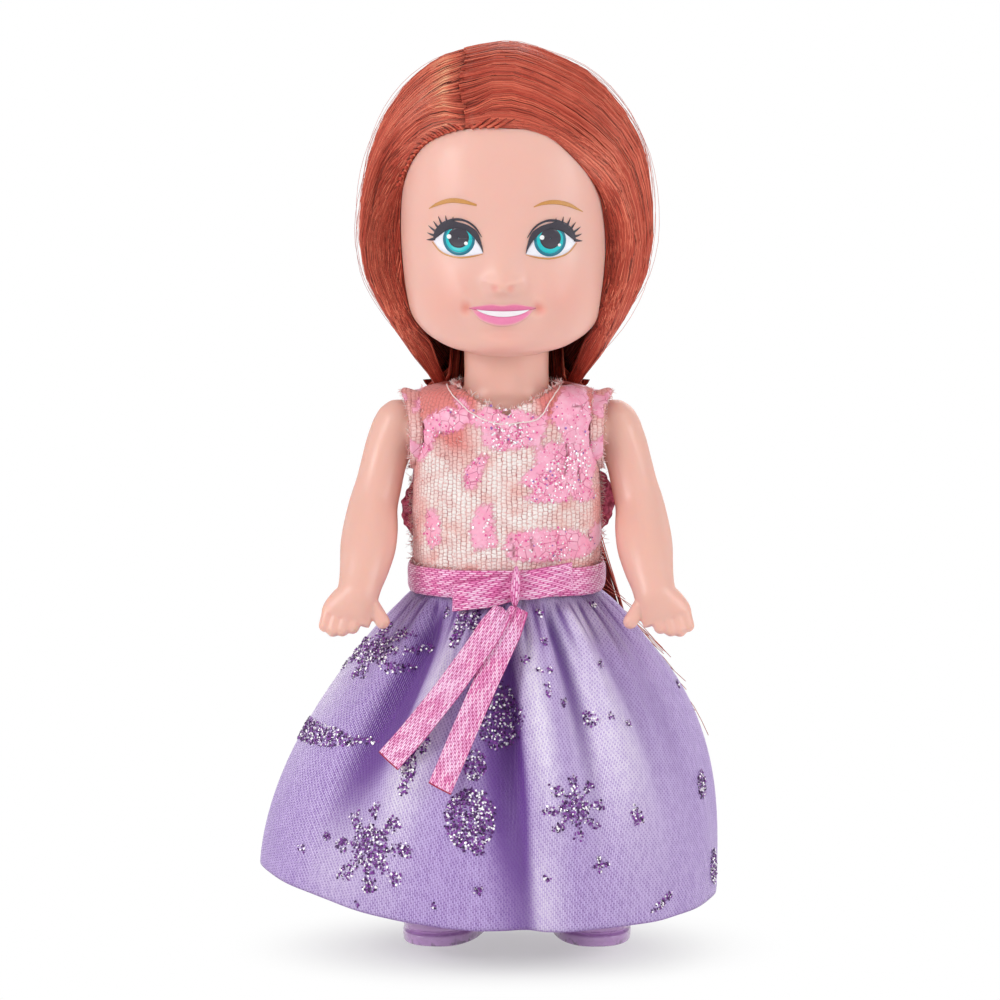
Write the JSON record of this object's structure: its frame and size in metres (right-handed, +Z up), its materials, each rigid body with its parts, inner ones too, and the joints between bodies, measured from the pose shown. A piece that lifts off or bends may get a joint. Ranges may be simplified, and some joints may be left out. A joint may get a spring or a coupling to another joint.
{
  "type": "doll",
  "caption": "Small standing vinyl doll with rooted auburn hair, a woven glittery top, a ribbon belt with a bow, a full satin skirt and slip-on shoes.",
  "frame": {"origin": "on the floor, in the middle of the footprint", "axes": "+Z up from the soles to the top of the hair; the doll faces -Y, so its own left hand is on +X"},
  "size_m": [0.0605, 0.0517, 0.1187],
  "materials": {
    "skin_vinyl": "satin",
    "face_vinyl": "satin",
    "hair_fibre": "satin",
    "shoe_vinyl": "gloss",
    "top_cloth": "matte",
    "skirt_satin": "satin",
    "ribbon": "satin",
    "tape": "matte"
  },
  "bodies": {
    "torso": {"torso_front": "skin_vinyl", "torso_back": "skin_vinyl", "hair_fall": "hair_fibre", "top_front": "top_cloth", "top_back_left": "top_cloth", "top_back_right": "top_cloth", "left_armhole_binding": "top_cloth", "right_armhole_binding": "top_cloth", "hook_tape": "tape", "loop_tape": "tape", "skirt": "skirt_satin", "waist_ribbon": "ribbon", "bow_loop_left": "ribbon", "bow_loop_right": "ribbon", "bow_tie": "ribbon", "ribbon_tail_left": "ribbon", "ribbon_tail_right": "ribbon"},
    "head": {"head": "face_vinyl", "hair_left": "hair_fibre", "hair_right": "hair_fibre"},
    "left_arm": {"left_arm": "skin_vinyl"},
    "right_arm": {"right_arm": "skin_vinyl"},
    "left_leg": {"left_leg": "skin_vinyl"},
    "right_leg": {"right_leg": "skin_vinyl"},
    "left_shoe": {"left_shoe": "shoe_vinyl"},
    "right_shoe": {"right_shoe": "shoe_vinyl"}
  },
  "joints": [
    {"name": "neck", "type": "hinge", "parent": "torso", "child": "head", "pos_m": [0.0023, 0, 0.0815], "axis": [0, 0, 1], "range_deg": [-60, 60]},
    {"name": "left_shoulder", "type": "hinge", "parent": "torso", "child": "left_arm", "pos_m": [0.0132, 0, 0.0678], "axis": [-1, 0, 0], "range_deg": [0, 110]},
    {"name": "right_shoulder", "type": "hinge", "parent": "torso", "child": "right_arm", "pos_m": [-0.0086, 0, 0.0678], "axis": [-1, 0, 0], "range_deg": [0, 110]},
    {"name": "left_hip", "type": "hinge", "parent": "torso", "child": "left_leg", "pos_m": [0.0066, 0, 0.039], "axis": [-1, 0, 0], "range_deg": [-16, 16]},
    {"name": "right_hip", "type": "hinge", "parent": "torso", "child": "right_leg", "pos_m": [-0.002, 0, 0.039], "axis": [-1, 0, 0], "range_deg": [-16, 16]},
    {"name": "left_shoe_off", "type": "slide", "parent": "left_leg", "child": "left_shoe", "axis": [0, 0, -1], "range_m": [0, 0.008]},
    {"name": "right_shoe_off", "type": "slide", "parent": "right_leg", "child": "right_shoe", "axis": [0, 0, -1], "range_m": [0, 0.008]}
  ]
}
